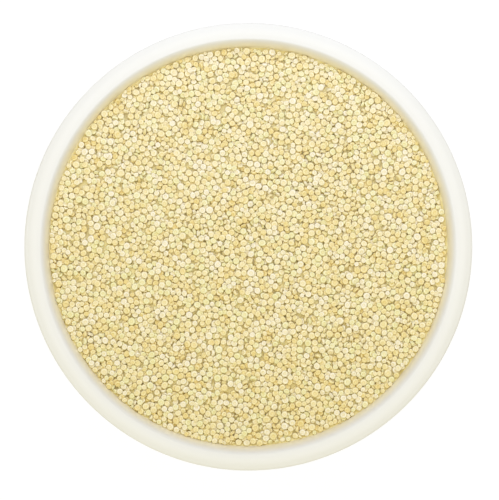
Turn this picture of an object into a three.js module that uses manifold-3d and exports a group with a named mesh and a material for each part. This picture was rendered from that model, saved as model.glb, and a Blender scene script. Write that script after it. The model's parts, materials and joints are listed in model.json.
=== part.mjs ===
// A round white stoneware bowl filled to just under its rim with dry quinoa.
//
// Millimetres, +Z up. The origin is the middle of the foot's underside, where the bowl stands,
// and the bowl is the same all round the Z axis. The heap of grain is one body that fills the
// hollow, with a thin gap to the glaze. Its top is a field of bumps the size of the grains.
import * as THREE from "three";
import { mergeVertices } from "three/addons/utils/BufferGeometryUtils.js";
import Module from "manifold-3d";

// The bowl
const BOWL_RADIUS = 66; // to the outside of the rim
const BOWL_HEIGHT = 57; // from the table to the crown of the rim
const RIM_WIDTH = 6.6; // wall thickness under the rim's inner slope
const RIM_CROWN = 0.3; // rise of the rim's broad top over its two shoulders
const RIM_OUTER_ROUND = 1.1;
const RIM_SLOPE_WIDTH = 2.1; // the inner slope, from the broad top down to the grain
const RIM_SLOPE_DEPTH = 5.2;
const RIM_SLOPE_LEAN = 0.5; // how far the slope leans out over its lower half
const FOOT_RADIUS = 32;
const FOOT_WIDTH = 4;
const FOOT_RECESS = 3; // the base lies this high inside the foot
const FOOT_HEIGHT = 4.5; // where the foot meets the belly
const FOOT_FLARE = 1.2; // the foot widens by this towards the belly
const FLOOR_HEIGHT = 8.5; // inside bottom of the bowl
// What pulls the two long curves out: how far inside the bowl's radius it lies, and how high
const BELLY_HIGH_PULL = { inset: 3, height: 26 };
const BELLY_LOW_PULL = { inset: 12.8, height: 7.5 };
const WALL_HIGH_PULL = { inset: 12.5, height: 18 };
const WALL_LOW_PULL = { inset: 17, height: FLOOR_HEIGHT };
const SEGMENTS = 64; // sides of every round form
const CURVE_STEPS = 8; // steps along the belly, inside and out
const ROUND_STEPS = 4; // steps along the rim's top, its rounding and its slope

// The quinoa
const GRAIN_BELOW_RIM = 5.3; // level of the grain under the crown of the rim
const BUMP_STEP = 1.7; // bumps and dips take turns at this step, so bumps are 2.4 apart
const BUMP_STRAY = 0.3; // share of a step that a bump or dip may stand off its place
const BUMP_HEIGHT = 0.5; // mean height of a bump over the level, and depth of a dip
const POUR_SWELL = 0.3; // slow rises and hollows left by the pouring
const GLAZE_GAP = 0.3;
const SEED = 7;

const wasm = await Module();
wasm.setup();

const at = (radius, height) => new THREE.Vector2(radius, height);
const pull = ({ inset, height }, gap = 0) => at(BOWL_RADIUS - inset - gap, height + gap);

// A round form about +Z from a profile of radius and height.
const turned = (profile) => new THREE.LatheGeometry(profile, SEGMENTS).rotateX(Math.PI / 2);

// The outside, from the middle of the base round the foot and up the belly to the rim.
function outsideProfile() {
  const footTop = FOOT_RADIUS + FOOT_FLARE;
  const belly = new THREE.CubicBezierCurve(
    at(footTop, FOOT_HEIGHT),
    pull(BELLY_LOW_PULL),
    pull(BELLY_HIGH_PULL),
    at(BOWL_RADIUS, BOWL_HEIGHT - RIM_CROWN - RIM_OUTER_ROUND),
  );
  return [
    at(0, FOOT_RECESS),
    at(FOOT_RADIUS - FOOT_WIDTH - FOOT_FLARE, FOOT_RECESS),
    at(FOOT_RADIUS - FOOT_WIDTH, 0),
    at(FOOT_RADIUS, 0),
    ...belly.getPoints(CURVE_STEPS),
  ];
}

// The rim, from its outer edge over its broad top to the head of its inner slope, both left out.
function rimProfile() {
  const shoulder = BOWL_HEIGHT - RIM_CROWN;
  const outerShoulder = at(BOWL_RADIUS - RIM_OUTER_ROUND, shoulder);
  const innerShoulder = at(BOWL_RADIUS - RIM_WIDTH + RIM_SLOPE_WIDTH, shoulder);
  const outerRound = new THREE.QuadraticBezierCurve(
    at(BOWL_RADIUS, shoulder - RIM_OUTER_ROUND),
    at(BOWL_RADIUS, shoulder - RIM_CROWN / 2),
    outerShoulder,
  );
  const crown = new THREE.QuadraticBezierCurve(
    outerShoulder,
    at((outerShoulder.x + innerShoulder.x) / 2, BOWL_HEIGHT + RIM_CROWN),
    innerShoulder,
  );
  return [outerRound, crown]
    .flatMap((curve) => curve.getPoints(ROUND_STEPS).slice(1))
    .slice(0, -1);
}

// The hollow, from the head of the rim's inner slope down to the middle of the floor. A gap draws
// the same curve inwards and up, which gives the outside of what fills the bowl.
function hollowProfile(gap = 0) {
  const shoulder = BOWL_HEIGHT - RIM_CROWN;
  const innerEdge = BOWL_RADIUS - RIM_WIDTH;
  const move = (radius, height) => at(radius - gap, height + gap);
  const slope = new THREE.CubicBezierCurve(
    move(innerEdge + RIM_SLOPE_WIDTH, shoulder),
    move(innerEdge + RIM_SLOPE_WIDTH / 2, shoulder),
    move(innerEdge + RIM_SLOPE_LEAN, shoulder - RIM_SLOPE_DEPTH / 2),
    move(innerEdge, shoulder - RIM_SLOPE_DEPTH),
  );
  const wall = new THREE.CubicBezierCurve(
    move(innerEdge, shoulder - RIM_SLOPE_DEPTH),
    pull(WALL_HIGH_PULL, gap),
    pull(WALL_LOW_PULL, gap),
    move(gap, FLOOR_HEIGHT),
  );
  return [...slope.getPoints(ROUND_STEPS).slice(0, -1), ...wall.getPoints(CURVE_STEPS)];
}

const bowlGeometry = () => turned([...outsideProfile(), ...rimProfile(), ...hollowProfile()]);

// A random source that gives the same bumps each time (mulberry32).
function randomFrom(seed) {
  let state = seed;
  return () => {
    state = (state + 0x6d2b79f5) | 0;
    let mixed = Math.imul(state ^ (state >>> 15), 1 | state);
    mixed = (mixed + Math.imul(mixed ^ (mixed >>> 7), 61 | mixed)) ^ mixed;
    return ((mixed ^ (mixed >>> 14)) >>> 0) / 2 ** 32;
  };
}

// The height of the poured surface at a point, before any single grain: two broad waves that
// cross and a narrower one.
function pouredLevel(x, y) {
  const broad = Math.sin(x / 17 + 0.6) * Math.cos(y / 21 - 0.4);
  const narrow = Math.sin((x - y) / 9 + 2);
  return BOWL_HEIGHT - GRAIN_BELOW_RIM + (POUR_SWELL * (2 * broad + narrow)) / 3;
}

// A square block wider than the bowl, with the bumpy top. Bumps and dips take turns on a grid,
// like the two colours of a chequerboard, and each cell is split from dip to dip, so that every
// bump is a small peak of its own. One point far below closes the block.
function bumpyBlock() {
  const random = randomFrom(SEED);
  const stray = () => 2 * BUMP_STRAY * BUMP_STEP * (random() - 0.5);
  const cells = 2 * Math.ceil(BOWL_RADIUS / BUMP_STEP);
  const point = (i, j) => i * (cells + 1) + j;
  const positions = [];
  const triangles = [];
  for (let i = 0; i <= cells; i++) {
    for (let j = 0; j <= cells; j++) {
      const x = (i - cells / 2) * BUMP_STEP + stray();
      const y = (j - cells / 2) * BUMP_STEP + stray();
      const lift = BUMP_HEIGHT * (0.5 + random());
      positions.push(x, y, pouredLevel(x, y) + ((i + j) % 2 === 0 ? lift : -lift));
    }
  }
  for (let i = 0; i < cells; i++) {
    for (let j = 0; j < cells; j++) {
      const corners = [point(i, j), point(i + 1, j), point(i + 1, j + 1), point(i, j + 1)];
      if ((i + j) % 2 === 0) corners.push(corners.shift());
      const [dip, bump, farDip, farBump] = corners;
      triangles.push(dip, bump, farDip, dip, farDip, farBump);
    }
  }
  const below = positions.length / 3;
  positions.push(0, 0, -10 * BOWL_HEIGHT);
  for (let n = 0; n < cells; n++) {
    triangles.push(point(n + 1, 0), point(n, 0), below);
    triangles.push(point(n, cells), point(n + 1, cells), below);
    triangles.push(point(0, n), point(0, n + 1), below);
    triangles.push(point(cells, n + 1), point(cells, n), below);
  }
  const geometry = new THREE.BufferGeometry().setIndex(triangles);
  return geometry.setAttribute("position", new THREE.Float32BufferAttribute(positions, 3));
}

function solidOf(geometry) {
  const bare = mergeVertices(geometry.deleteAttribute("normal").deleteAttribute("uv"));
  return new wasm.Manifold(
    new wasm.Mesh({
      numProp: 3,
      vertProperties: bare.attributes.position.array,
      triVerts: new Uint32Array(bare.index.array),
    }),
  );
}

function geometryOf(solid) {
  const { vertProperties, triVerts } = solid.getMesh();
  const geometry = new THREE.BufferGeometry();
  geometry.setAttribute("position", new THREE.BufferAttribute(vertProperties, 3));
  geometry.setIndex(new THREE.BufferAttribute(triVerts, 1));
  geometry.computeVertexNormals();
  return geometry;
}

// The hollow's whole filling, cut off by the bumpy top.
function quinoaGeometry() {
  const wall = hollowProfile(GLAZE_GAP).reverse();
  const filling = turned([...wall, at(0, wall.at(-1).y)]);
  return geometryOf(solidOf(filling).intersect(solidOf(bumpyBlock())));
}

const glaze = new THREE.MeshStandardMaterial({ color: 0xf2f1ea, roughness: 0.16, metalness: 0 });
const grain = new THREE.MeshStandardMaterial({
  color: 0xe4d49e,
  roughness: 0.62,
  metalness: 0,
  flatShading: true,
});

const bowl = new THREE.Mesh(bowlGeometry(), glaze);
bowl.name = "bowl";
const quinoa = new THREE.Mesh(quinoaGeometry(), grain);
quinoa.name = "quinoa";

const bowlOfQuinoa = new THREE.Group();
bowlOfQuinoa.add(bowl, quinoa);

export default bowlOfQuinoa;
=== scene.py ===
# %% [markdown]
# # A bowl of quinoa
# A round white bowl, filled with dry quinoa to just under its rim. The solid parts are made
# already, at their real size: a `bowl` and the `quinoa` that fills it. This lesson gives them
# their looks. The bowl is turned again with a smooth surface and a glaze. The quinoa becomes a
# core under thousands of single grains, which are dropped one by one until each lies still.

import json
import math

import bpy
import numpy as np
from mathutils import Matrix, Vector

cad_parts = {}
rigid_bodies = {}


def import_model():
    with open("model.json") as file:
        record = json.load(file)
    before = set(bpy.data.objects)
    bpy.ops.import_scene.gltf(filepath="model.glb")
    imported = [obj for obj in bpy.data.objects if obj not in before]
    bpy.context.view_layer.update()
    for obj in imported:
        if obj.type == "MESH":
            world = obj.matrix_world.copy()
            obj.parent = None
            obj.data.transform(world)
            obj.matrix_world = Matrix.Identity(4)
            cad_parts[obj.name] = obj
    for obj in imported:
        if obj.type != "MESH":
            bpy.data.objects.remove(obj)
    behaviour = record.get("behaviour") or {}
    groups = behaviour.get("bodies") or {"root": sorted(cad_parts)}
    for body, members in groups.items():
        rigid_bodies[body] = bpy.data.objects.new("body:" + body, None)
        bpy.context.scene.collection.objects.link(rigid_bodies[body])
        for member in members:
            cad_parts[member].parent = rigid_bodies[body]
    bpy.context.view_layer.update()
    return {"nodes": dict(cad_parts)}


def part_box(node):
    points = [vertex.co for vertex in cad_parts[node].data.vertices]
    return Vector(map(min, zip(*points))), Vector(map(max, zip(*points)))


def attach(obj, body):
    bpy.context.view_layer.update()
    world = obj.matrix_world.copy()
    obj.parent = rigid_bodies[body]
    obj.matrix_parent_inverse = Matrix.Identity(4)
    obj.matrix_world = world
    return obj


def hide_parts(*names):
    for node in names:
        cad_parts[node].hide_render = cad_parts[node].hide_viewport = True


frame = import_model()
MM = 0.001
for part in frame["nodes"]:
    low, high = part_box(part)
    print(part, "from", [round(v / MM, 1) for v in low], "to", [round(v / MM, 1) for v in high], "mm")

# %% [markdown]
# ## Colours on the screen
# Blender's usual transforms dull clean whites. The bowl and the table are white, so the plain one
# is used. Alone it is hard: all that is brighter than white is cut off. A camera bends its bright
# tones softly towards white instead, which also opens the shadows. A curve does the same here: it
# takes light up to a quarter over white and follows one exponential bend.

# %% Plain colours with a soft shoulder
FILM_WHITE = 1.25  # the light that comes out as white
FILM_BEND = 0.875
FILM_POINTS = (0.2, 0.4, 0.6, 0.8)  # shares of that light where the curve is pinned


def bent(share):
    """How bright a share of the film's white comes out."""
    return (1 - math.exp(-FILM_BEND * share)) / (1 - math.exp(-FILM_BEND))


view = bpy.context.scene.view_settings
view.view_transform = "Standard"
view.use_curve_mapping = True
film = view.curve_mapping
film.white_level = (FILM_WHITE, FILM_WHITE, FILM_WHITE)
for share in FILM_POINTS:
    film.curves[3].points.new(share, bent(share))
film.update()
print("half of white comes out as", round(bent(1 / 2), 2))

# %% [markdown]
# ## The camera
# It hangs over the bowl and looks straight down. How high it hangs follows from its lens: the
# bowl's width has to fill a given share of the picture. The bowl lies a little off the picture's
# middle, so the camera moves aside by as much, and the lens itself isn't shifted.

# %% Hang the camera
LENS = 100 * MM
SENSOR = 36 * MM  # the picture's longer side on the sensor
PICTURE_HEIGHT = 500  # pixels
BOWL_WIDTH_IN_PICTURE = 448  # pixels
BOWL_ASIDE_IN_PICTURE = (-1.2, 3.3)  # pixels to the right and up from the picture's middle
_, bowl_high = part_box("bowl")
BOWL_RADIUS = bowl_high.x
BOWL_HEIGHT = bowl_high.z
WIDEST_BELOW_CROWN = 1.4 * MM  # where the bowl is as wide as it gets

pixel = 2 * BOWL_RADIUS / BOWL_WIDTH_IN_PICTURE
camera_data = bpy.data.cameras.new("camera")
camera_data.lens = LENS / MM
camera_data.sensor_width = SENSOR / MM
camera = bpy.data.objects.new("camera", camera_data)
camera.location = (
    -BOWL_ASIDE_IN_PICTURE[0] * pixel,
    -BOWL_ASIDE_IN_PICTURE[1] * pixel,
    BOWL_HEIGHT - WIDEST_BELOW_CROWN + PICTURE_HEIGHT * pixel * LENS / SENSOR,
)
bpy.context.scene.collection.objects.link(camera)
bpy.context.scene.camera = camera
print("one pixel shows", round(pixel / MM, 3), "mm, from", round(camera.location.z / MM), "mm up")

# %% [markdown]
# ## Node trees in a few words
# Materials and geometry are both drawn up as trees of nodes. One helper adds a node, sets its
# values and plugs in what feeds it, so that each tree below reads from the top down. The shaders
# of the table, the glaze and the grain also share a few short steps: clouds, blends and bumps.

# %% Helpers that start a tree
def add_node(tree, kind, inputs=None, **settings):
    """A new node. Each input is a value, or the output of another node."""
    made = tree.nodes.new(kind)
    for name, value in settings.items():
        setattr(made, name, value)
    for socket, value in (inputs or {}).items():
        if isinstance(value, bpy.types.NodeSocket):
            tree.links.new(value, made.inputs[socket])
        else:
            made.inputs[socket].default_value = value
    return made


def new_material(name):
    """An empty material and its Principled shader."""
    material = bpy.data.materials.new(name)
    material.use_nodes = True
    tree = material.node_tree
    tree.nodes.clear()
    shader = add_node(tree, "ShaderNodeBsdfPrincipled")
    add_node(tree, "ShaderNodeOutputMaterial", {"Surface": shader.outputs["BSDF"]})
    return material, tree, shader


# %% Steps that the shaders share
NOISE_LOW, NOISE_HIGH = 0.3, 0.7  # nearly all of a noise lies between these


def noise(tree, coordinates, scale, detail=2.0):
    """Soft random clouds. The scale says about how many fit into a metre."""
    made = add_node(
        tree, "ShaderNodeTexNoise", {"Vector": coordinates, "Scale": scale, "Detail": detail}
    )
    return made.outputs["Fac"]


def blended(tree, share, low, high):
    """A colour between two others. A share of 0 gives the first."""
    mixed = add_node(tree, "ShaderNodeMix", {0: share, 6: low, 7: high}, data_type="RGBA")
    return mixed.outputs[2]


def between(tree, value, low, high, at_low, at_high):
    """A value brought from one range to another, and held to its ends."""
    ranged = add_node(tree, "ShaderNodeMapRange", {0: value, 1: low, 2: high, 3: at_low, 4: at_high})
    return ranged.outputs[0]


def axis_distance(tree, coordinates):
    """How far a place lies from the upright axis."""
    flat = add_node(
        tree, "ShaderNodeVectorMath", {0: coordinates, 1: (1, 1, 0)}, operation="MULTIPLY"
    )
    return add_node(
        tree, "ShaderNodeVectorMath", {0: flat.outputs[0]}, operation="LENGTH"
    ).outputs["Value"]


def raised(tree, height, strength, depth, **below):
    """A bump from a height. It can be laid over the normal of another one."""
    return add_node(
        tree, "ShaderNodeBump", {"Height": height, "Strength": strength, "Distance": depth, **below}
    ).outputs[0]


# %% [markdown]
# ## The table and the light
# The table is a light table: a wide sheet of milky glass that glows by itself, as food is often
# pictured on, so that it comes out white and the bowl's shadow on it is faint. The light is soft.
# A warm white room gives most of it, more from its ceiling than from its walls, because light from
# above reaches down between the grains. One soft cool lamp hangs low over the far side, a little to
# the right, so the heap grows paler and brighter towards it. It stands nearly behind the rim's
# slope on that side, so a warm lamp faces that slope from the near side, across the bowl. That one
# is three times as far off, so it adds only a little light. The low lamp would be in the way, so
# both are hidden from the camera and from the glaze, where they would show as bright bands.

# %% Lay the table
TABLE_SIZE = 6.0
TABLE_GLOW = 1.12
TABLE_GREYS = ((0.14, 0.14, 0.14, 1), (0.18, 0.18, 0.18, 1))  # what the sheet itself is painted
TABLE_CLOUDS = 90.0  # how fine the clouds in it are
TABLE_ROUGHNESS = 0.9
table_material, tree, shader = new_material("table_sheet")
coordinates = add_node(tree, "ShaderNodeTexCoord").outputs["Object"]
clouds = noise(tree, coordinates, TABLE_CLOUDS, detail=4.0)
tree.links.new(blended(tree, clouds, *TABLE_GREYS), shader.inputs["Base Color"])
shader.inputs["Roughness"].default_value = TABLE_ROUGHNESS
shader.inputs["Emission Color"].default_value = (1, 1, 1, 1)
shader.inputs["Emission Strength"].default_value = TABLE_GLOW

half = TABLE_SIZE / 2
table_mesh = bpy.data.meshes.new("table")
corners = [(-half, -half, 0), (half, -half, 0), (half, half, 0), (-half, half, 0)]
table_mesh.from_pydata(corners, [], [(0, 1, 2, 3)])
table_mesh.materials.append(table_material)
table = bpy.data.objects.new("table", table_mesh)
bpy.context.scene.collection.objects.link(table)
print("the table is", TABLE_SIZE, "m wide")

# %% Set up the light
WALL_LIGHT = 0.35
CEILING_LIGHT = 1.85  # more than the walls, straight above
CEILING_GATHER = 4.0  # how narrowly the ceiling's light is gathered overhead
ROOM_WHITE = (1.0, 0.935, 0.65, 1)
# Each lamp: its place, its width, its power in watts and its colour
LAMPS = {
    "low_lamp": ((0.008, 0.09, 0.20), 0.20, 0.325, (0.60, 0.67, 1.0)),
    "side_lamp": ((-0.17, -0.55, 0.22), 0.20, 0.62, (1.0, 0.93, 0.80)),
}


def hang_lamp(name, place, size, watts, colour):
    """A square soft lamp that faces the heap."""
    data = bpy.data.lights.new(name, "AREA")
    data.size = size
    data.energy = watts
    data.color = colour
    lamp = bpy.data.objects.new(name, data)
    lamp.location = place
    lamp.visible_camera = False
    lamp.visible_glossy = False
    heap = Vector((0, 0, BOWL_HEIGHT))
    lamp.rotation_euler = (heap - lamp.location).to_track_quat("-Z", "Y").to_euler()
    bpy.context.scene.collection.objects.link(lamp)


room = bpy.data.worlds.new("room")
room.use_nodes = True
tree = room.node_tree
direction = add_node(tree, "ShaderNodeTexCoord").outputs["Generated"]
up = add_node(tree, "ShaderNodeSeparateXYZ", {0: direction})
above = add_node(tree, "ShaderNodeClamp", {0: up.outputs["Z"]})
gathered = add_node(tree, "ShaderNodeMath", {0: above.outputs[0], 1: CEILING_GATHER}, operation="POWER")
rise = add_node(
    tree,
    "ShaderNodeMath",
    {0: gathered.outputs[0], 1: CEILING_LIGHT, 2: WALL_LIGHT},
    operation="MULTIPLY_ADD",
)
background = tree.nodes["Background"]
background.inputs["Color"].default_value = ROOM_WHITE
tree.links.new(rise.outputs[0], background.inputs["Strength"])
bpy.context.scene.world = room
for name, lamp in LAMPS.items():
    hang_lamp(name, *lamp)
    print(name, "gives", lamp[2], "W")

# %% [markdown]
# ## How a bowl gets its form
# A potter's bowl is the same all round: one outline, turned about an axis. The outline could be
# spun with a Screw modifier. Here a small Geometry Nodes tree does it instead, because the bowl
# and the core of the heap can then share it: a grid gets one row of points for each point of the
# outline and one column for each side, and every point is swung round the axis to its place. The
# grid's own map is kept for the painting of the finished piece.

# %% Helpers for Geometry Nodes
def new_tree(name, inputs):
    """A tree with geometry in and out, and its named inputs."""
    tree = bpy.data.node_groups.new(name, "GeometryNodeTree")
    face = tree.interface
    for label, kind in {"Geometry": "Geometry", **inputs}.items():
        face.new_socket(label, in_out="INPUT", socket_type="NodeSocket" + kind)
    face.new_socket("Geometry", in_out="OUTPUT", socket_type="NodeSocketGeometry")
    return tree, tree.nodes.new("NodeGroupInput").outputs


def end_tree(tree, geometry, material):
    """The last steps of every tree: real meshes, smooth faces and a material."""
    real = add_node(tree, "GeometryNodeRealizeInstances", {"Geometry": geometry})
    smooth = add_node(tree, "GeometryNodeSetShadeSmooth", {"Geometry": real.outputs[0]})
    dressed = add_node(
        tree, "GeometryNodeSetMaterial", {"Geometry": smooth.outputs[0], "Material": material}
    )
    add_node(tree, "NodeGroupOutput", {"Geometry": dressed.outputs[0]})


def run_tree(thing, tree, values):
    """Runs a tree on an object and keeps the plain mesh that it makes."""
    modifier = thing.modifiers.new(tree.name, "NODES")
    modifier.node_group = tree
    for socket in tree.interface.items_tree:
        if socket.in_out == "INPUT" and socket.name in values:
            modifier[socket.identifier] = values[socket.name]
    graph = bpy.context.evaluated_depsgraph_get()
    mesh = bpy.data.meshes.new_from_object(
        thing.evaluated_get(graph), preserve_all_data_layers=True, depsgraph=graph
    )
    thing.modifiers.clear()
    thing.data = mesh
    mesh.name = thing.name
    triangles = sum(len(face.vertices) - 2 for face in mesh.polygons)
    print(thing.name, "has", triangles, "triangles")


# %% A tree that turns an outline about the upright axis
BAKE_MAP = "OFBake"
MERGE_DISTANCE = 0.001 * MM  # points that lie on each other, at the seam and the poles
turning, given = new_tree("turn_an_outline", {"Sides": "Int", "Material": "Material"})
rows = add_node(turning, "GeometryNodeAttributeDomainSize", {"Geometry": given["Geometry"]})
columns = add_node(turning, "FunctionNodeIntegerMath", {0: given["Sides"], 1: 1}, operation="ADD")
grid = add_node(
    turning,
    "GeometryNodeMeshGrid",
    {"Vertices X": rows.outputs["Point Count"], "Vertices Y": columns.outputs[0]},
)
number = add_node(turning, "GeometryNodeInputIndex").outputs[0]
row = add_node(
    turning, "FunctionNodeIntegerMath", {0: number, 1: columns.outputs[0]}, operation="DIVIDE_FLOOR"
)
column = add_node(
    turning, "FunctionNodeIntegerMath", {0: number, 1: columns.outputs[0]}, operation="MODULO"
)
turn = add_node(turning, "ShaderNodeMath", {0: column.outputs[0], 1: math.tau}, operation="MULTIPLY")
angle = add_node(
    turning, "ShaderNodeMath", {0: turn.outputs[0], 1: given["Sides"]}, operation="DIVIDE"
)
outline_point = add_node(
    turning,
    "GeometryNodeSampleIndex",
    {"Geometry": given["Geometry"], "Index": row.outputs[0]},
    data_type="FLOAT_VECTOR",
)
place = add_node(turning, "GeometryNodeInputPosition").outputs[0]
turning.links.new(place, outline_point.inputs["Value"])
swung = add_node(
    turning,
    "ShaderNodeVectorRotate",
    {"Vector": outline_point.outputs[0], "Angle": angle.outputs[0]},
    rotation_type="Z_AXIS",
)
placed = add_node(
    turning,
    "GeometryNodeSetPosition",
    {"Geometry": grid.outputs["Mesh"], "Position": swung.outputs[0]},
)
mapped = add_node(
    turning,
    "GeometryNodeStoreNamedAttribute",
    {"Geometry": placed.outputs[0], "Name": BAKE_MAP, "Value": grid.outputs["UV Map"]},
    data_type="FLOAT2",
    domain="CORNER",
)
closed = add_node(
    turning, "GeometryNodeMergeByDistance", {"Geometry": mapped.outputs[0], "Distance": MERGE_DISTANCE}
)
end_tree(turning, closed.outputs[0], given["Material"])
print("the tree that turns has", len(turning.nodes), "nodes")


# %% Turn an outline into a piece
def turned(name, outline, sides, material):
    """A piece from points of (radius, height), from its upper middle round to its lower one."""
    mesh = bpy.data.meshes.new(name)
    mesh.from_pydata([(radius, 0, height) for radius, height in outline], [], [])
    piece = bpy.data.objects.new(name, mesh)
    bpy.context.scene.collection.objects.link(piece)
    run_tree(piece, turning, {"Sides": sides, "Material": material})
    return piece


# %% [markdown]
# ## The outline of the bowl
# The wall is thick and the rim is broad, with a top so nearly level that it shows as a plain
# white ring. Its outer edge is rounded tightly. Its inner edge falls away in a long soft slope that
# goes over into the wall just where the grain begins. The belly runs down in one long curve to a
# foot ring, which keeps the base off the table. Every stretch is a Bezier curve with its ends and
# its pull points. Where two stretches meet at a slight angle, the smooth faces hide it.

# %% The bowl's measures
RIM_WIDTH = 6.6 * MM  # thickness of the wall under the rim's slope
RIM_CROWN = 0.3 * MM
RIM_OUTER_ROUND = 1.1 * MM
RIM_SLOPE_WIDTH = 2.1 * MM
RIM_SLOPE_DEPTH = 5.2 * MM
RIM_SLOPE_LEAN = 0.5 * MM  # how far the slope leans out over its lower half
FOOT_RADIUS = 32 * MM
FOOT_WIDTH = 4 * MM
FOOT_HEIGHT = 4.5 * MM
FOOT_FLARE = 1.2 * MM
FOOT_ROUND = 0.7 * MM
BASE_HEIGHT = 3 * MM
FLOOR_HEIGHT = 8.5 * MM
# What pulls the two long curves out
WALL_LOW_INSET = 17 * MM  # inside the bowl's radius, at the floor's height
WALL_HIGH_INSET = 12.5 * MM
WALL_HIGH_PULL = 18 * MM  # its height
BELLY_HIGH_INSET = 3 * MM
BELLY_HIGH_PULL = 26 * MM  # its height
BELLY_LOW_PULL = (20 * MM, 3 * MM)  # out and up from where the foot meets the belly
# Into how many steps each stretch is cut
HOLLOW_STEPS = 48
SLOPE_STEPS = 16
CROWN_STEPS = 16
BELLY_STEPS = 48
FOOT_STEPS = 4
BASE_STEPS = 10
BOWL_SIDES = 192
shoulder = BOWL_HEIGHT - RIM_CROWN
print("the rim's broad top is", round((RIM_WIDTH - RIM_SLOPE_WIDTH) / MM, 1), "mm wide")


# %% Draw the outline
def bezier(*points, steps=12):
    """Points along a Bezier curve, from its first end to just before its last one."""
    along = np.linspace(0, 1, steps, endpoint=False)[:, None]
    level = [np.array(point)[None] for point in points]
    while len(level) > 1:
        level = [a * (1 - along) + b * along for a, b in zip(level, level[1:])]
    return level[0]


def hollow_outline(gap=0.0, steps=HOLLOW_STEPS):
    """The inside, from the middle of the floor up to the rim. A gap draws it in and up."""
    points = (
        (0, FLOOR_HEIGHT + gap),
        (BOWL_RADIUS - WALL_LOW_INSET - gap, FLOOR_HEIGHT + gap),
        (BOWL_RADIUS - WALL_HIGH_INSET - gap, WALL_HIGH_PULL + gap),
        (BOWL_RADIUS - RIM_WIDTH - gap, shoulder - RIM_SLOPE_DEPTH + gap),
    )
    return np.vstack([bezier(*points, steps=steps), points[-1]])


def rim_outline():
    """The rim, over its crown from the inner edge to the outer one."""
    inner_edge = BOWL_RADIUS - RIM_WIDTH
    inner = (inner_edge + RIM_SLOPE_WIDTH, shoulder)
    outer = (BOWL_RADIUS - RIM_OUTER_ROUND, shoulder)
    slope = (
        (inner_edge, shoulder - RIM_SLOPE_DEPTH),
        (inner_edge + RIM_SLOPE_LEAN, shoulder - RIM_SLOPE_DEPTH / 2),
        (inner_edge + RIM_SLOPE_WIDTH / 2, shoulder),
        inner,
    )
    crown_pull = ((inner[0] + outer[0]) / 2, BOWL_HEIGHT + RIM_CROWN)
    outer_end = (BOWL_RADIUS, shoulder - RIM_OUTER_ROUND)
    return np.vstack(
        [
            bezier(*slope, steps=SLOPE_STEPS)[1:],
            bezier(inner, crown_pull, outer, steps=CROWN_STEPS),
            bezier(outer, (BOWL_RADIUS, shoulder - RIM_CROWN / 2), outer_end),
        ]
    )


def outside_outline():
    """The belly, the foot ring and the base, from the rim's outer edge to the middle."""
    foot_top = FOOT_RADIUS + FOOT_FLARE
    foot_inside = FOOT_RADIUS - FOOT_WIDTH
    belly = (
        (BOWL_RADIUS, shoulder - RIM_OUTER_ROUND),
        (BOWL_RADIUS - BELLY_HIGH_INSET, BELLY_HIGH_PULL),
        (foot_top + BELLY_LOW_PULL[0], FOOT_HEIGHT + BELLY_LOW_PULL[1]),
        (foot_top, FOOT_HEIGHT),
    )
    foot_out = (FOOT_RADIUS, FOOT_ROUND)
    foot_in = (foot_inside, FOOT_ROUND)
    base_edge = (foot_inside - FOOT_FLARE, BASE_HEIGHT)
    flat_out = (FOOT_RADIUS - FOOT_ROUND, 0)
    flat_in = (foot_inside + FOOT_ROUND, 0)
    foot = (
        (belly[-1], foot_out),
        (foot_out, (FOOT_RADIUS, 0), flat_out),
        (flat_out, flat_in),
        (flat_in, (foot_inside, 0), foot_in),
        (foot_in, base_edge),
    )
    return np.vstack(
        [
            bezier(*belly, steps=BELLY_STEPS),
            *(bezier(*stretch, steps=FOOT_STEPS) for stretch in foot),
            bezier(base_edge, (0, BASE_HEIGHT), steps=BASE_STEPS),
            (0, BASE_HEIGHT),
        ]
    )


bowl_outline = np.vstack([hollow_outline(), rim_outline(), outside_outline()])
print("the outline has", len(bowl_outline), "points")

# %% [markdown]
# ## Glaze
# The bowl is stoneware under a warm white glaze. A glaze is never quite even: it pools and thins
# by a hair, so its white shifts a little and its shine wanders. Under the foot ring the potter
# wipes it off, and the bare fired clay is duller and slightly sandy. On the rim's slope just over
# the grain, the glaze is tinted towards the grain's colour: painted warm light, as the grain would
# throw back onto the wall. One Principled shader holds them all: the height above the table says
# where the clay and the painted light begin and end, and the distance from the axis keeps the
# painted light off the outside.

# %% What goes into the glaze
GLAZE_WHITES = ((0.765, 0.765, 0.73, 1), (0.795, 0.795, 0.76, 1))
GLAZE_POOLS = 45.0  # how fine the glaze's pools are
GLAZE_SHINE = (0.06, 0.11)  # its roughness, where it is smoothest and dullest
GLAZE_WAVES = 0.4 * MM  # how deep the pools are
GLAZE_WAVE_SHARE = 0.25  # how much of that depth catches the light
CLAY = (0.62, 0.56, 0.46, 1)
CLAY_ROUGHNESS = 0.8
CLAY_GRIT = 2400.0  # how fine its sand is
CLAY_GRIT_DEPTH = 0.1 * MM
CLAY_GRIT_SHARE = 0.6
BARE_HEIGHT = 0.9 * MM  # below this the clay begins to show
BARE_FADE = 0.3 * MM
# Painted light: the grain's warm colour, laid on the rim's slope where light thrown back from the grain
# warms it.
PAINTED_GRAIN_LIGHT = (0.94, 0.835, 0.54, 1)
PAINTED_GRAIN_LIGHT_SHARE = 0.85  # how far the painted light covers the glaze where it is strongest
PAINTED_GRAIN_LIGHT_HEIGHTS = (45 * MM, 49 * MM, 52.2 * MM, 56 * MM)  # it starts, is full, fades and ends
PAINTED_GRAIN_LIGHT_FADE = 1 * MM  # how it ends over the rim
mouth = BOWL_RADIUS - RIM_WIDTH + RIM_SLOPE_WIDTH
# Where the painted warm light ends, towards the rim's top.
print("the painted_grain_light ends", round(mouth / MM, 1), "mm from the axis")

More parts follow.
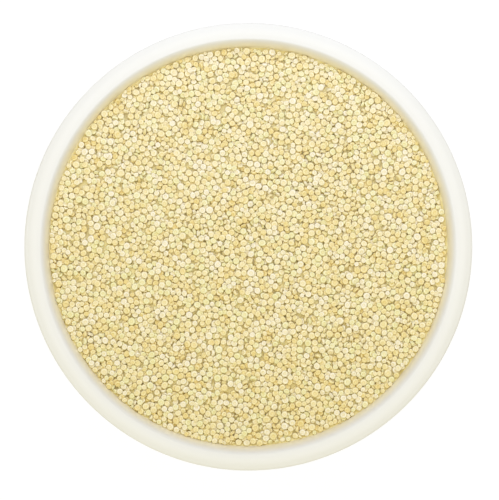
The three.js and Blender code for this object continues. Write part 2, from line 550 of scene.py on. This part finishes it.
# %% Mix the glaze
glaze, tree, shader = new_material("white_glaze")
coordinates = add_node(tree, "ShaderNodeTexCoord").outputs["Object"]
height = add_node(tree, "ShaderNodeSeparateXYZ", {0: coordinates}).outputs["Z"]
bare = between(tree, height, BARE_HEIGHT, BARE_HEIGHT - BARE_FADE, 0, 1)
pools = noise(tree, coordinates, GLAZE_POOLS, detail=3.0)
grit = noise(tree, coordinates, CLAY_GRIT)
clean = blended(tree, pools, *GLAZE_WHITES)
# Painted warm light from the grain: only inside the mouth, and between its heights on the slope.
inside = between(tree, axis_distance(tree, coordinates), mouth, mouth + PAINTED_GRAIN_LIGHT_FADE, 1, 0)
starting = between(tree, height, *PAINTED_GRAIN_LIGHT_HEIGHTS[:2], 0, 1)
fading = between(tree, height, *PAINTED_GRAIN_LIGHT_HEIGHTS[2:], PAINTED_GRAIN_LIGHT_SHARE, 0)
thickness = add_node(tree, "ShaderNodeMath", {0: starting, 1: fading}, operation="MULTIPLY")
grain_light_share = add_node(tree, "ShaderNodeMath", {0: inside, 1: thickness.outputs[0]}, operation="MULTIPLY")
white = blended(tree, grain_light_share.outputs[0], clean, PAINTED_GRAIN_LIGHT)
tree.links.new(blended(tree, bare, white, CLAY), shader.inputs["Base Color"])
shine = between(tree, pools, NOISE_LOW, NOISE_HIGH, *GLAZE_SHINE)
dull = add_node(tree, "ShaderNodeMix", {0: bare, 2: shine, 3: CLAY_ROUGHNESS}, data_type="FLOAT")
tree.links.new(dull.outputs[0], shader.inputs["Roughness"])
waves = raised(tree, pools, GLAZE_WAVE_SHARE, GLAZE_WAVES)
sand = add_node(tree, "ShaderNodeMath", {0: grit, 1: bare}, operation="MULTIPLY")
rough = raised(tree, sand.outputs[0], CLAY_GRIT_SHARE, CLAY_GRIT_DEPTH, Normal=waves)
tree.links.new(rough, shader.inputs["Normal"])
print("the glaze has", len(tree.nodes), "nodes")

# %% Turn the bowl
bowl = turned("glazed_bowl", bowl_outline, BOWL_SIDES, glaze)
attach(bowl, "root")
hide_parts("bowl")

# %% [markdown]
# ## The poured level
# Poured grain never lies quite level. Slow rises and hollows of a few tenths of a millimetre
# stay after the bowl is shaken down, and so do small pits, a grain or two wide. Everything that
# follows starts from this surface: the core lies under it, and the loose grains fill up to it.
# The pits are the sum of a dozen waves that run in all directions, so they make no pattern.

# %% The level of the grain
GRAIN_BELOW_RIM = 5.3 * MM
POUR_SWELL = 0.3 * MM
PIT_DEPTH = 0.2 * MM
PIT_WIDTH = 2.4 * MM
PIT_SEED = 1
WAVES = 12
WAVE_SPREAD = (0.8, 1.6)  # the shortest and the longest wave, against the width that is asked for
BROAD_WAVES = (17 * MM, 21 * MM)
NARROW_WAVES = 9 * MM


def patches(x, y, width, seed):
    """Soft patches of about one width, as a value round 0 that seldom leaves -2 to 2."""
    random = np.random.default_rng(seed)
    total = np.zeros_like(x)
    for _ in range(WAVES):
        way, start = random.uniform(0, math.tau, 2)
        length = 2 * width * random.uniform(*WAVE_SPREAD)
        total += np.sin((x * math.cos(way) + y * math.sin(way)) * math.tau / length + start)
    return total / math.sqrt(WAVES / 2)


def poured_level(x, y):
    """The mean height of the grain at a place. The swell is that of the solid quinoa."""
    broad = np.sin(x / BROAD_WAVES[0] + 0.6) * np.cos(y / BROAD_WAVES[1] - 0.4)
    narrow = np.sin((x - y) / NARROW_WAVES + 2)
    swell = POUR_SWELL * (2 * broad + narrow) / 3
    pits = PIT_DEPTH * patches(x, y, PIT_WIDTH, PIT_SEED)
    return BOWL_HEIGHT - GRAIN_BELOW_RIM + swell + pits


deepest = poured_level(*np.mgrid[-30:31, -30:31] * MM).min()
print("the deepest pit near the middle lies", round((BOWL_HEIGHT - deepest) / MM, 1), "mm under the rim")

# %% [markdown]
# ## One grain of quinoa
# A grain is a flat round seed some 2 mm across. The seedling inside is curled round its edge like
# a belt, so each face has a raised ring round a shallow hollow, and at one place the tip of the
# root stands out as a small beak. It could be sculpted as a dense mesh, but thousands are needed,
# so a grain has five bands of twelve faces and no more. Only its upper face is hollowed, because
# the lower one is hardly ever seen. Six shapes with other beaks, dents and ovals keep the heap
# from looking stamped.

# %% Shape the grains
GRAIN_SIDES = 12
GRAIN_SHAPES = 6
# Each ring of points, from the upper pole to the lower one: radius and height in half sizes,
# and how far out it lies on the painting map.
GRAIN_RINGS = (
    (0.0, 0.50, 0.0),
    (0.34, 0.60, 0.28),
    (0.70, 0.90, 0.58),
    (1.0, 0.0, 0.80),
    (0.80, -0.72, 0.92),
    (0.0, -0.96, 1.0),
)
# What sets the shapes apart, in shares of a grain's half size
BEAK = (0.02, 0.16)
BEAK_SPREAD = 0.30  # half the beak's width, as an angle
OVAL = 0.06
DENTS = 0.02
FACE_TILT = 0.06
MAP_REACH = 0.49  # the painting map's radius, with a narrow edge left free round it
SHAPE_SEED = 5
shape_random = np.random.default_rng(SHAPE_SEED)


def grain_mesh(name):
    """A single grain of half sizes 1, with its own painting map and place attribute."""
    angles = np.arange(GRAIN_SIDES) * math.tau / GRAIN_SIDES
    beak = shape_random.uniform(*BEAK)
    oval = shape_random.uniform(0, OVAL)
    out = 1 + beak * np.exp(-((np.minimum(angles, math.tau - angles) / BEAK_SPREAD) ** 2))
    out += oval * np.cos(2 * angles + shape_random.uniform(0, math.tau))
    out += shape_random.uniform(-DENTS, DENTS, GRAIN_SIDES)
    tilt = shape_random.uniform(-FACE_TILT, FACE_TILT, 2)
    points, corners, faces = [], [], []
    for radius, lift, _ in GRAIN_RINGS:
        if radius == 0:
            points.append((0, 0, lift))
            continue
        for a, o in zip(angles, out):
            x, y = radius * o * math.cos(a), radius * o * math.sin(a)
            points.append((x, y, lift + radius * (tilt @ (x, y))))
    last = len(GRAIN_RINGS) - 1
    flat = [ring[2] for ring in GRAIN_RINGS]

    def point(ring, side):
        if ring in (0, last):
            return 0 if ring == 0 else len(points) - 1
        return 1 + (ring - 1) * GRAIN_SIDES + side % GRAIN_SIDES

    def on_map(ring, side):
        angle = side * math.tau / GRAIN_SIDES
        radius = MAP_REACH * flat[ring]
        return 0.5 + radius * math.cos(angle), 0.5 + radius * math.sin(angle)

    for ring in range(last):
        for side in range(GRAIN_SIDES):
            face = [(ring, side), (ring + 1, side), (ring + 1, side + 1), (ring, side + 1)]
            if ring == 0:
                face = face[:3]
            if ring == last - 1:
                face = [face[0], (last, side + 0.5), face[3]]
            faces.append([point(r, int(s)) for r, s in face])
            corners += [on_map(r, s) for r, s in face]
    mesh = bpy.data.meshes.new(name)
    mesh.from_pydata(points, [], faces)
    unfolded = mesh.attributes.new("skin_map", "FLOAT2", "CORNER")
    unfolded.data.foreach_set("vector", np.array(corners, np.float32).ravel())
    local = mesh.attributes.new("grain_place", "FLOAT_VECTOR", "POINT")
    local.data.foreach_set("vector", np.array(points, np.float32).ravel())
    return mesh


grain_shapes = bpy.data.collections.new("grain_shapes")
for n in range(GRAIN_SHAPES):
    shape_name = f"grain_shape_{n}"
    grain_shapes.objects.link(bpy.data.objects.new(shape_name, grain_mesh(shape_name)))

# %% [markdown]
# ## Dropping the grains
# Thousands of grains can't be laid by hand, and a physics engine would need minutes. But the
# heap is seen as a surface, so a map of heights is enough: for every tenth of a millimetre it
# holds how high the heap has grown. A grain is dropped at the lowest of many random places. It
# rolls down the map while that takes it lower, then leans with the slope beneath it. The last to
# land lie on top, as in a poured bowl. A grain that would stand proud of the level rolls away, as
# it does when the bowl is shaken, so the heap ends flush, grain beside grain. The wall of the bowl
# is on the map too, so the outermost grains lean on it. All starts from the top of the core, the
# closed body under the loose grains, which rises a little along the wall, so that no deep ditch
# is left there.

# %% A map of the heap's height
CELL = 0.1 * MM
WALL_POINTS = 200
CORE_DEPTH = 1.5 * MM  # the core's top under the mean level
EDGE_RISE = 1.3 * MM  # how far the core rises at the wall
EDGE_REACH = 2.0 * MM  # how far from the wall it starts to rise
OUT_OF_REACH = BOWL_HEIGHT + 30 * MM  # the map's height beyond the wall, where no grain can lie
core_top = BOWL_HEIGHT - GRAIN_BELOW_RIM - CORE_DEPTH
wall = hollow_outline(steps=WALL_POINTS)
heap_radius = float(np.interp(BOWL_HEIGHT - GRAIN_BELOW_RIM, wall[:, 1], wall[:, 0]))


def core_height(radius):
    """The top of the core at a distance from the axis."""
    near_wall = np.clip((radius - heap_radius + EDGE_REACH) / EDGE_REACH, 0, 1)
    return core_top + EDGE_RISE * near_wall**2


reach = int(BOWL_RADIUS / CELL)
line = np.arange(-reach, reach + 1) * CELL
map_x, map_y = np.meshgrid(line, line, indexing="ij")
map_radius = np.hypot(map_x, map_y)
wall_height = np.interp(map_radius, wall[:, 0], wall[:, 1], right=OUT_OF_REACH)
heap = np.maximum(core_height(map_radius), wall_height).astype(np.float32)
owner = np.full(heap.shape, -1, np.int32)  # the grain that shows in each cell
level = poured_level(map_x, map_y)
print("the heap is", round(2 * heap_radius / MM, 1), "mm wide")


# %% How one grain sits on the map
def facing(normal, spin):
    """A turn whose third axis is the normal."""
    up = normal / np.linalg.norm(normal)
    far_from_up = (0, 1, 0) if abs(up[0]) > 0.8 else (1, 0, 0)
    aside = np.cross(far_from_up, up)
    aside /= np.linalg.norm(aside)
    first = math.cos(spin) * aside + math.sin(spin) * np.cross(up, aside)
    return np.stack([first, np.cross(up, first), up], axis=1)


def footprint(turn, size):
    """The heights of a grain's underside and top over its middle, cell by cell."""
    spread = turn @ np.diag(size**2) @ turn.T
    form = np.linalg.inv(spread)
    across, along = (int(math.sqrt(spread[k, k]) / CELL) for k in (0, 1))
    u = np.arange(-across, across + 1)[:, None] * CELL
    v = np.arange(-along, along + 1)[None, :] * CELL
    slope = form[0, 2] * u + form[1, 2] * v
    rest = form[0, 0] * u * u + 2 * form[0, 1] * u * v + form[1, 1] * v * v - 1
    inside = slope * slope - form[2, 2] * rest
    root = np.sqrt(np.maximum(inside, 0))
    under = np.where(inside >= 0, (-slope - root) / form[2, 2], np.inf)
    over = np.where(inside >= 0, (-slope + root) / form[2, 2], -np.inf)
    return across, along, under.astype(np.float32), over.astype(np.float32)


def window(i, j, mark):
    """The part of the map under a footprint."""
    across, along = mark[:2]
    return slice(i - across, i + across + 1), slice(j - along, j + along + 1)


def resting_height(i, j, mark):
    """How high a grain's middle lies when it touches the heap."""
    return float((heap[window(i, j, mark)] - mark[2]).max())


# %% How a grain rolls and leans
ROLL_STEPS = (5, 2, 1)  # cells
ROLL_TURNS = 6
LEAN_REACH = 8  # cells
LEAN_SOFTNESS = 0.3 * MM  # how far under its highest point the ground still bears
STEEPEST = 1.0  # rise over run
COMPASS = ((1, 0), (-1, 0), (0, 1), (0, -1), (1, 1), (-1, -1), (1, -1), (-1, 1))


def over_level(i, j, mark):
    """How high over the level a grain's middle would lie."""
    return resting_height(i, j, mark) - level[i, j]


def roll(i, j, mark):
    """Moves a grain from cell to cell while that takes it lower."""
    best = over_level(i, j, mark)
    for step in ROLL_STEPS:
        for _ in range(ROLL_TURNS):
            tries = [(i + step * a, j + step * b) for a, b in COMPASS]
            heights = [over_level(a, b, mark) for a, b in tries]
            lowest = int(np.argmin(heights))
            if heights[lowest] >= best:
                break
            best = heights[lowest]
            i, j = tries[lowest]
    return i, j


def ground_slope(i, j, mark):
    """The slope of what a grain lies on. The highest ground under it counts most."""
    k = max(*mark[:2], LEAN_REACH)
    ground = heap[i - k : i + k + 1, j - k : j + k + 1]
    around = line[reach - k : reach + k + 1]
    u, v = np.meshgrid(around, around, indexing="ij")
    near = (u * u + v * v < (k * CELL) ** 2) & (ground < BOWL_HEIGHT)
    ground, u, v = ground[near], u[near], v[near]
    weight = np.exp((ground - ground.max()) / LEAN_SOFTNESS)
    sides = np.stack([u, v, np.ones_like(u)], axis=1)
    fit = np.linalg.lstsq((sides.T * weight) @ sides, (sides.T * weight) @ ground, rcond=None)[0]
    return np.clip(fit[:2], -STEEPEST, STEEPEST)


# %% How a grain falls
GRAINS = 10500
GRAIN_WIDTH = 1.9 * MM
WIDTH_SPREAD = 0.22 * MM
WIDTH_LIMITS = (1.2 * MM, 2.45 * MM)
BREADTHS = (0.90, 1.0)  # shares of the width
THICKNESSES = (0.42, 0.54)
EDGE_GRAINS = 330  # small ones that slip in along the wall, last of all
EDGE_GRAIN_WIDTH = 1.45 * MM
EDGE_BAND = 1.4 * MM
WALL_SPACE = 0.4  # how near its middle may be to the wall, as a share of its width
TRIES = 60
FLAT_TILT = 8  # degrees, the usual tilt of a grain as it falls
ON_EDGE = 0.07  # share of the grains that land on edge, wedged between others
EDGE_TILTS = (50, 90)  # degrees
SETTLINGS = 2  # how often a grain leans with the ground and rolls on
WOBBLE = 0.09  # how far its lean may stray from the ground's slope
PROUD = 0.08 * MM  # how far a grain's middle may lie over the level
HEAP_SEED = 11
heap_random = np.random.default_rng(HEAP_SEED)


def falling_grain(at_wall):
    """The half sizes, the turn and the spin of a new grain, and whether it lands on edge."""
    middle = EDGE_GRAIN_WIDTH if at_wall else GRAIN_WIDTH
    width = np.clip(heap_random.normal(middle, WIDTH_SPREAD), *WIDTH_LIMITS)
    breadth, thickness = heap_random.uniform(*BREADTHS), heap_random.uniform(*THICKNESSES)
    size = width / 2 * np.array([1, breadth, thickness])
    spin, way = heap_random.uniform(0, math.tau, 2)
    on_edge = heap_random.random() < ON_EDGE
    tilt = math.radians(
        heap_random.uniform(*EDGE_TILTS) if on_edge else heap_random.normal(0, FLAT_TILT)
    )
    aside = math.sin(tilt)
    normal = np.array([aside * math.cos(way), aside * math.sin(way), math.cos(tilt)])
    return size, facing(normal, spin), spin, on_edge


def lowest_place(nearest, farthest, mark):
    """The cell where the grain would lie lowest, of many random ones in a ring."""
    far = np.sqrt(heap_random.uniform(nearest**2, farthest**2, TRIES)) / CELL
    ways = heap_random.uniform(0, math.tau, TRIES)
    cells = [(reach + int(f * math.cos(w)), reach + int(f * math.sin(w))) for f, w in zip(far, ways)]
    return min(cells, key=lambda cell: over_level(*cell, mark))


# %% Drop them all
def drop_grain(number):
    """Lets one grain fall, roll and lean, and raises the map there. None if it rolls off."""
    at_wall = number >= GRAINS - EDGE_GRAINS
    size, turn, spin, on_edge = falling_grain(at_wall)
    mark = footprint(turn, size)
    nearest = heap_radius - EDGE_BAND if at_wall else 0
    farthest = heap_radius - WALL_SPACE * 2 * size[0]
    i, j = roll(*lowest_place(nearest, farthest, mark), mark)
    for _ in range(0 if on_edge else SETTLINGS):
        across, along = ground_slope(i, j, mark)
        wobble = heap_random.normal(0, WOBBLE, 2)
        turn = facing(np.array([wobble[0] - across, wobble[1] - along, 1.0]), spin)
        mark = footprint(turn, size)
        i, j = roll(i, j, mark)
    height = resting_height(i, j, mark)
    if height > level[i, j] + PROUD:
        return None
    part = window(i, j, mark)
    top = mark[3] + height
    shows = top > heap[part]
    heap[part][shows] = top[shows]
    owner[part][shows] = number
    return (line[i], line[j], height), turn, size


dropped = [drop_grain(number) for number in range(GRAINS)]
inner = map_radius < heap_radius - GRAIN_WIDTH
print("the heap ends", round(float((heap - level)[inner].mean()) / MM, 2), "mm over the level")

# %% [markdown]
# Grains that lie wholly under others, or all but a sliver, can't be seen, so they are left out,
# and the core stands for them.

# %% Keep the grains that show
SEEN_CELLS = 12  # a grain that shows in no more than these is left out
seen = np.bincount(owner[owner >= 0], minlength=GRAINS) > SEEN_CELLS
shown = [dropped[number] for number in np.flatnonzero(seen)]
places, turns, sizes = (np.array(column) for column in zip(*shown))
print(len(places), "of", GRAINS, "grains show")

# %% [markdown]
# ## The core
# The heap under the loose grains is one closed body. It is turned like the bowl, from the same
# inside curve, and it reaches a hair into the wall, so that no dark slit is left round it. Its top
# is pressed into a field of bumps as wide as the grains: a Voronoi pattern gives the distance to
# the nearest bump, and the surface sinks with it. Its colours are deeper and yellower than those
# of the grains over it, as painted shade in the gaps, where alone it shows.

# %% A tree that presses grain-sized bumps into the top
BUMP_STRAY = 0.9  # how far the bumps stray from even rows
FACING_UP = 0.5  # the least upward share of a normal that counts as the top
pressing, given = new_tree(
    "press_bumps",
    {"Bump width": "Float", "Bump depth": "Float", "Material": "Material"},
)
place = add_node(pressing, "GeometryNodeInputPosition").outputs[0]
each = add_node(
    pressing, "ShaderNodeMath", {0: 1.0, 1: given["Bump width"]}, operation="DIVIDE"
)
bumps = add_node(
    pressing,
    "ShaderNodeTexVoronoi",
    {"Vector": place, "Scale": each.outputs[0], "Randomness": BUMP_STRAY},
    voronoi_dimensions="2D",
)
squared = add_node(pressing, "ShaderNodeMath", {0: bumps.outputs["Distance"], 1: 2.0}, operation="POWER")
sunk = add_node(
    pressing, "ShaderNodeMath", {0: squared.outputs[0], 1: given["Bump depth"]}, operation="MULTIPLY"
)
down = add_node(pressing, "ShaderNodeMath", {0: sunk.outputs[0], 1: -1.0}, operation="MULTIPLY")
offset = add_node(pressing, "ShaderNodeCombineXYZ", {"Z": down.outputs[0]})
facing_way = add_node(pressing, "GeometryNodeInputNormal").outputs[0]
facing_up = add_node(pressing, "ShaderNodeSeparateXYZ", {0: facing_way}).outputs["Z"]
is_top = add_node(
    pressing, "FunctionNodeCompare", {0: facing_up, 1: FACING_UP}, operation="GREATER_THAN"
)
pressed = add_node(
    pressing,
    "GeometryNodeSetPosition",
    {"Geometry": given["Geometry"], "Selection": is_top.outputs[0], "Offset": offset.outputs[0]},
)
end_tree(pressing, pressed.outputs[0], given["Material"])
print("the tree that presses has", len(pressing.nodes), "nodes")

# %% [markdown]
# ## Grain skin
# The skin of washed quinoa is dull, with a faint bloom. Most grains are ivory, cream or straw,
# and some are greenish or golden. Every grain carries a `tint` of its own, and its
# `grain_place` says where on the grain a point lies, so the shader can draw the pale ring on each
# of them, with a little painted shade in the hollow middle and more in the fine groove round it
# and at the grain's edge, where the gaps between grains lie. Subsurface could let light through
# the skin, but on grains this small it costs much time and only speckles, so a thin Sheen, the
# bloom, lightens the edges instead.

# %% Colour the grain
BLOOM = 0.3
SKIN_ROUGHNESS = 0.4
BLOTCHES = 1000.0  # how fine the blotches are
BLOTCHED = 0.45  # how far they shift the tint within a grain
PORES = 5000.0  # how fine the pores are
PORE_DEPTH = 0.04 * MM
PORE_SHARE = 0.5  # how much of that depth catches the light
RING_AND_SHADE_DRAWING = (  # how the skin is tinted from the middle of a grain's face out to its rim, with painted shade
    # The pale ring is the seedling's own colour; the middle is a little darker and the groove and the
    # edge much darker, as painted shade.
    (0.0, (0.90, 0.86, 0.75, 1)),
    (0.26, (0.87, 0.82, 0.70, 1)),
    (0.42, (0.76, 0.71, 0.58, 1)),
    (0.58, (1, 1, 1, 1)),
    (0.84, (1, 1, 1, 1)),
    (1.0, (0.69, 0.63, 0.42, 1)),
)


def grain_skin(name, pale, deep):
    """The skin of one kind of grain, from its palest to its deepest colour."""
    material, tree, shader = new_material(name)
    tint = add_node(tree, "ShaderNodeAttribute", attribute_name="tint").outputs["Fac"]
    local = add_node(tree, "ShaderNodeAttribute", attribute_name="grain_place").outputs["Vector"]
    coordinates = add_node(tree, "ShaderNodeTexCoord").outputs["Object"]
    blotches = noise(tree, coordinates, BLOTCHES)
    uneven = between(tree, blotches, NOISE_LOW, NOISE_HIGH, -BLOTCHED, BLOTCHED)
    share = add_node(tree, "ShaderNodeMath", {0: tint, 1: uneven}, operation="ADD", use_clamp=True)
    body = blended(tree, share.outputs[0], (*pale, 1), (*deep, 1))
    # The pale ring, with painted shade in the hollow, the groove and round the edge.
    belt = add_node(tree, "ShaderNodeValToRGB", {0: axis_distance(tree, local)})
    stops = belt.color_ramp.elements
    stops[0].color, stops[1].color = RING_AND_SHADE_DRAWING[0][1], RING_AND_SHADE_DRAWING[-1][1]
    for position, colour in RING_AND_SHADE_DRAWING[1:-1]:
        stops.new(position).color = colour
    drawn = add_node(
        tree,
        "ShaderNodeMix",
        {0: 1.0, 6: body, 7: belt.outputs[0]},
        data_type="RGBA",
        blend_type="MULTIPLY",
    )
    tree.links.new(drawn.outputs[2], shader.inputs["Base Color"])
    shader.inputs["Roughness"].default_value = SKIN_ROUGHNESS
    shader.inputs["Sheen Weight"].default_value = BLOOM
    pores = raised(tree, noise(tree, coordinates, PORES), PORE_SHARE, PORE_DEPTH)
    tree.links.new(pores, shader.inputs["Normal"])
    return material


# %% Turn the core
INTO_WALL = 0.2 * MM
CORE_SIDES = 320
CORE_RINGS = 74
CORE_WALL_STEPS = 40
BUMP_DEPTH = 0.9 * MM
# Deeper and yellower than the grains: painted shade for the gaps between them.
CORE_SHADED_COLOURS = ((0.88, 0.76, 0.36), (0.86, 0.73, 0.30))
core_wall = hollow_outline(-INTO_WALL, steps=CORE_WALL_STEPS)
edge_height = core_top + EDGE_RISE
core_wall = core_wall[core_wall[:, 1] < edge_height][::-1]
edge_radius = float(np.interp(edge_height, *hollow_outline(-INTO_WALL).T[::-1]))
across = np.linspace(0, edge_radius, CORE_RINGS)
core_outline = np.vstack([np.stack([across, core_height(across)], axis=1), core_wall])
core_skin = grain_skin("core_grain", *CORE_SHADED_COLOURS)
core = turned("quinoa_core", core_outline, CORE_SIDES, core_skin)
run_tree(
    core,
    pressing,
    {"Bump width": GRAIN_WIDTH, "Bump depth": BUMP_DEPTH, "Material": core_skin},
)

# %% [markdown]
# ## Laying the grains
# Each kind of grain becomes one piece. A cloud of points holds where its grains lie, how they
# turn, how large they are, which shape they take and their tint. A second tree puts a grain on
# every point. It then gives every grain a square of its own on the painting map, so that no two
# share their colours.

# %% A tree that lays a grain on every point
laying, given = new_tree("lay_grains", {"Grain shapes": "Collection", "Material": "Material"})


def stored(name, kind):
    """Reads an attribute that the points carry."""
    read = add_node(laying, "GeometryNodeInputNamedAttribute", {"Name": name}, data_type=kind)
    return read.outputs[0]


shapes = add_node(
    laying,
    "GeometryNodeCollectionInfo",
    {"Collection": given["Grain shapes"], "Separate Children": True, "Reset Children": True},
)
laid = add_node(
    laying,
    "GeometryNodeInstanceOnPoints",
    {
        "Points": given["Geometry"],
        "Instance": shapes.outputs[0],
        "Pick Instance": True,
        "Instance Index": stored("shape", "INT"),
        "Rotation": stored("turn", "QUATERNION"),
        "Scale": stored("size", "FLOAT_VECTOR"),
    },
)
real = add_node(laying, "GeometryNodeRealizeInstances", {"Geometry": laid.outputs[0]})
square = stored("map_square", "FLOAT_VECTOR")
width = add_node(laying, "ShaderNodeSeparateXYZ", {0: square}).outputs["Z"]
shrunk = add_node(
    laying,
    "ShaderNodeVectorMath",
    {0: stored("skin_map", "FLOAT_VECTOR"), "Scale": width},
    operation="SCALE",
)
moved = add_node(laying, "ShaderNodeVectorMath", {0: shrunk.outputs[0], 1: square}, operation="ADD")
painted = add_node(
    laying,
    "GeometryNodeStoreNamedAttribute",
    {"Geometry": real.outputs[0], "Name": BAKE_MAP, "Value": moved.outputs[0]},
    data_type="FLOAT2",
    domain="CORNER",
)
end_tree(laying, painted.outputs[0], given["Material"])
print("the tree that lays has", len(laying.nodes), "nodes")


# %% Put each kind down
# Each kind: its share of the grains, its palest colour and its deepest one.
KINDS = {
    "ivory_grains": (0.22, (0.98, 0.885, 0.64), (0.95, 0.84, 0.51)),
    "green_grains": (0.20, (0.94, 0.87, 0.51), (0.87, 0.80, 0.38)),
    "cream_grains": (0.22, (0.97, 0.845, 0.51), (0.93, 0.785, 0.40)),
    "straw_grains": (0.22, (0.955, 0.81, 0.44), (0.89, 0.735, 0.32)),
    "golden_grains": (0.14, (0.93, 0.765, 0.365), (0.845, 0.65, 0.24)),
}
PATCH_WIDTH = 2.4 * MM  # grains of a kind lie together in patches about so wide
PATCH_SHARE = 0.42  # how strongly
PATCH_SEED = 2
KIND_SEED = 3
kind_random = np.random.default_rng(KIND_SEED)


def lay_grains(name, chosen, material):
    """One piece of grains, with what each grain needs kept on its point."""
    count = len(chosen)
    mesh = bpy.data.meshes.new(name)
    mesh.from_pydata(places[chosen].tolist(), [], [])
    squares = math.ceil(math.sqrt(count))
    numbers = np.arange(count)
    map_square = np.stack([numbers % squares, numbers // squares, np.ones(count)], axis=1) / squares
    for label, kind, field, values in (
        ("turn", "QUATERNION", "value", [Matrix(t.tolist()).to_quaternion() for t in turns[chosen]]),
        ("size", "FLOAT_VECTOR", "vector", sizes[chosen]),
        ("map_square", "FLOAT_VECTOR", "vector", map_square),
        ("tint", "FLOAT", "value", kind_random.random(count)),
        ("shape", "INT", "value", kind_random.integers(0, GRAIN_SHAPES, count)),
    ):
        attribute = mesh.attributes.new(label, kind, "POINT")
        number_kind = np.int32 if kind == "INT" else np.float32
        attribute.data.foreach_set(field, np.array(values, number_kind).ravel())
    piece = bpy.data.objects.new(name, mesh)
    bpy.context.scene.collection.objects.link(piece)
    run_tree(piece, laying, {"Grain shapes": grain_shapes, "Material": material})
    return piece


drift = patches(*places[:, :2].T, PATCH_WIDTH, PATCH_SEED)
ripeness = kind_random.random(len(places)) + PATCH_SHARE * drift
order = np.argsort(ripeness)
grain_pieces = []
start = 0.0
for name, (share, pale, deep) in KINDS.items():
    chosen = order[round(start * len(order)) : round((start + share) * len(order))]
    start += share
    grain_pieces.append(lay_grains(name, chosen, grain_skin(name + "_skin", pale, deep)))
    print(name, "holds", len(chosen), "grains")

# %% Hand the heap over
for piece in [core, *grain_pieces]:
    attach(piece, "root")
    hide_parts("quinoa")
for source in list(grain_shapes.objects):
    bpy.data.objects.remove(source)
bpy.data.collections.remove(grain_shapes)
print("the heap is made of", 1 + len(grain_pieces), "pieces")
